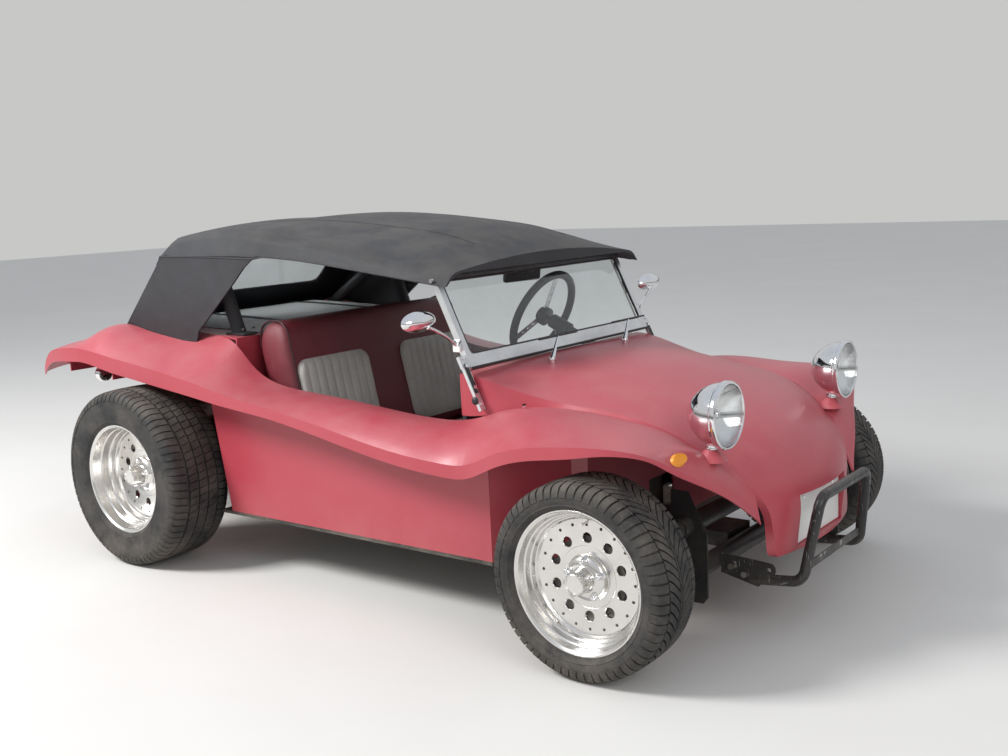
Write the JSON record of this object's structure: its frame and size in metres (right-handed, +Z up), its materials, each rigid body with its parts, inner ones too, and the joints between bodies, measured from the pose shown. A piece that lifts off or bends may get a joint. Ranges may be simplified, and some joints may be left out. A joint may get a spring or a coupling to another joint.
{
  "type": "dune buggy",
  "caption": "Open two-seat dune buggy with moulded fenders, black hardtop, deep-dish wheels, chrome lamps on stalks and a tube front bumper; steering and wheels turn.",
  "frame": {"origin": "on the ground below the centre of the whole vehicle", "axes": "+X forward, +Y to the driver's left, +Z up"},
  "size_m": [3.2663, 1.656, 1.279],
  "materials": {
    "red_gelcoat": "faded satin red gelcoat",
    "black_vinyl": "grained black vinyl",
    "polished_alloy": "polished aluminium",
    "tyre": "black rubber, road worn",
    "chrome": "bright chrome",
    "black_paint": "satin black paint",
    "black_steel": "black chassis paint",
    "cast_alloy": "dull cast metal",
    "frame_alloy": "satin aluminium",
    "clear_glass": "clear glass",
    "lamp_glass": "fluted clear glass",
    "red_vinyl": "dark red vinyl",
    "amber_plastic": "amber lens",
    "red_lens": "red lens",
    "black_plastic": "black plastic",
    "plate_white": "blank painted plate",
    "exhaust_steel": "heat-dulled steel"
  },
  "bodies": {
    "chassis": {"floor_pan": "black_steel", "front_beam": "black_paint", "suspension_arms": "black_paint", "rear_axle": "cast_alloy", "engine": "cast_alloy", "exhaust": "exhaust_steel", "hood": "red_gelcoat", "nose_panel": "red_gelcoat", "front_fenders": "red_gelcoat", "body_sides": "red_gelcoat", "rear_fenders": "red_gelcoat", "footwell": "red_gelcoat", "rear_deck": "red_gelcoat", "dashboard": "black_vinyl", "windscreen_frame": "frame_alloy", "windows": "clear_glass", "hardtop": "black_vinyl", "roll_hoop": "black_vinyl", "backrest": "red_vinyl", "seat_cushions": "red_vinyl", "controls": "black_plastic", "steering_column": "black_paint", "steering_box": "black_steel", "headlamps": "chrome", "headlamp_lenses": "lamp_glass", "indicators": "amber_plastic", "tail_lamps": "red_lens", "mirrors": "chrome", "wipers": "frame_alloy", "front_bumper": "black_paint", "number_plates": "plate_white"},
    "front_left_knuckle": {"knuckle_left": "black_steel"},
    "front_right_knuckle": {"knuckle_right": "black_steel"},
    "drop_arm": {"pitman_arm": "black_steel"},
    "left_tie_rod": {"tie_rod_left": "black_steel"},
    "right_tie_rod": {"tie_rod_right": "black_steel"},
    "steering_wheel": {"steering_wheel": "black_plastic"},
    "front_left_wheel": {"front_tyre_left": "tyre", "front_rim_left": "polished_alloy", "front_drum_left": "black_steel"},
    "front_right_wheel": {"front_tyre_right": "tyre", "front_rim_right": "polished_alloy", "front_drum_right": "black_steel"},
    "rear_left_wheel": {"rear_tyre_left": "tyre", "rear_rim_left": "polished_alloy", "rear_drum_left": "black_steel"},
    "rear_right_wheel": {"rear_tyre_right": "tyre", "rear_rim_right": "polished_alloy", "rear_drum_right": "black_steel"}
  },
  "joints": [
    {"name": "front_left_steer", "type": "hinge", "parent": "chassis", "child": "front_left_knuckle", "pos_m": [1.1785, 0.6, 0.2805], "axis": [0, 0, 1], "range_deg": [-30, 30]},
    {"name": "front_right_steer", "type": "hinge", "parent": "chassis", "child": "front_right_knuckle", "pos_m": [1.1785, -0.6, 0.2805], "axis": [0, 0, 1], "range_deg": [-30, 30]},
    {"name": "drop_arm_turn", "type": "hinge", "parent": "chassis", "child": "drop_arm", "pos_m": [1.2335, 0.31, 0.2805], "axis": [0, 0, 1], "range_deg": [-30, 30]},
    {"name": "left_tie_rod_turn", "type": "hinge", "parent": "drop_arm", "child": "left_tie_rod", "pos_m": [1.1135, 0.31, 0.3025], "axis": [0, 0, 1], "range_deg": [-30, 30]},
    {"name": "right_tie_rod_turn", "type": "hinge", "parent": "drop_arm", "child": "right_tie_rod", "pos_m": [1.1135, 0.31, 0.2585], "axis": [0, 0, 1], "range_deg": [-30, 30]},
    {"name": "steering_wheel_turn", "type": "hinge", "parent": "chassis", "child": "steering_wheel", "pos_m": [0.3065, 0.31, 0.862], "axis": [-0.9066, 0, 0.422], "range_deg": [-450, 450]},
    {"name": "front_left_wheel_spin", "type": "hinge", "parent": "front_left_knuckle", "child": "front_left_wheel", "pos_m": [1.1785, 0.7255, 0.2805], "axis": [0, 1, 0], "continuous": true},
    {"name": "front_right_wheel_spin", "type": "hinge", "parent": "front_right_knuckle", "child": "front_right_wheel", "pos_m": [1.1785, -0.7255, 0.2805], "axis": [0, 1, 0], "continuous": true},
    {"name": "rear_left_wheel_spin", "type": "hinge", "parent": "chassis", "child": "rear_left_wheel", "pos_m": [-0.8535, 0.7005, 0.336], "axis": [0, 1, 0], "continuous": true},
    {"name": "rear_right_wheel_spin", "type": "hinge", "parent": "chassis", "child": "rear_right_wheel", "pos_m": [-0.8535, -0.7005, 0.336], "axis": [0, 1, 0], "continuous": true}
  ],
  "couplings": [
    {"joint": "front_right_steer", "follows": "front_left_steer", "ratio": 1},
    {"joint": "drop_arm_turn", "follows": "front_left_steer", "ratio": 1},
    {"joint": "left_tie_rod_turn", "follows": "front_left_steer", "ratio": -1},
    {"joint": "right_tie_rod_turn", "follows": "front_left_steer", "ratio": -1},
    {"joint": "steering_wheel_turn", "follows": "front_left_steer", "ratio": 15}
  ]
}
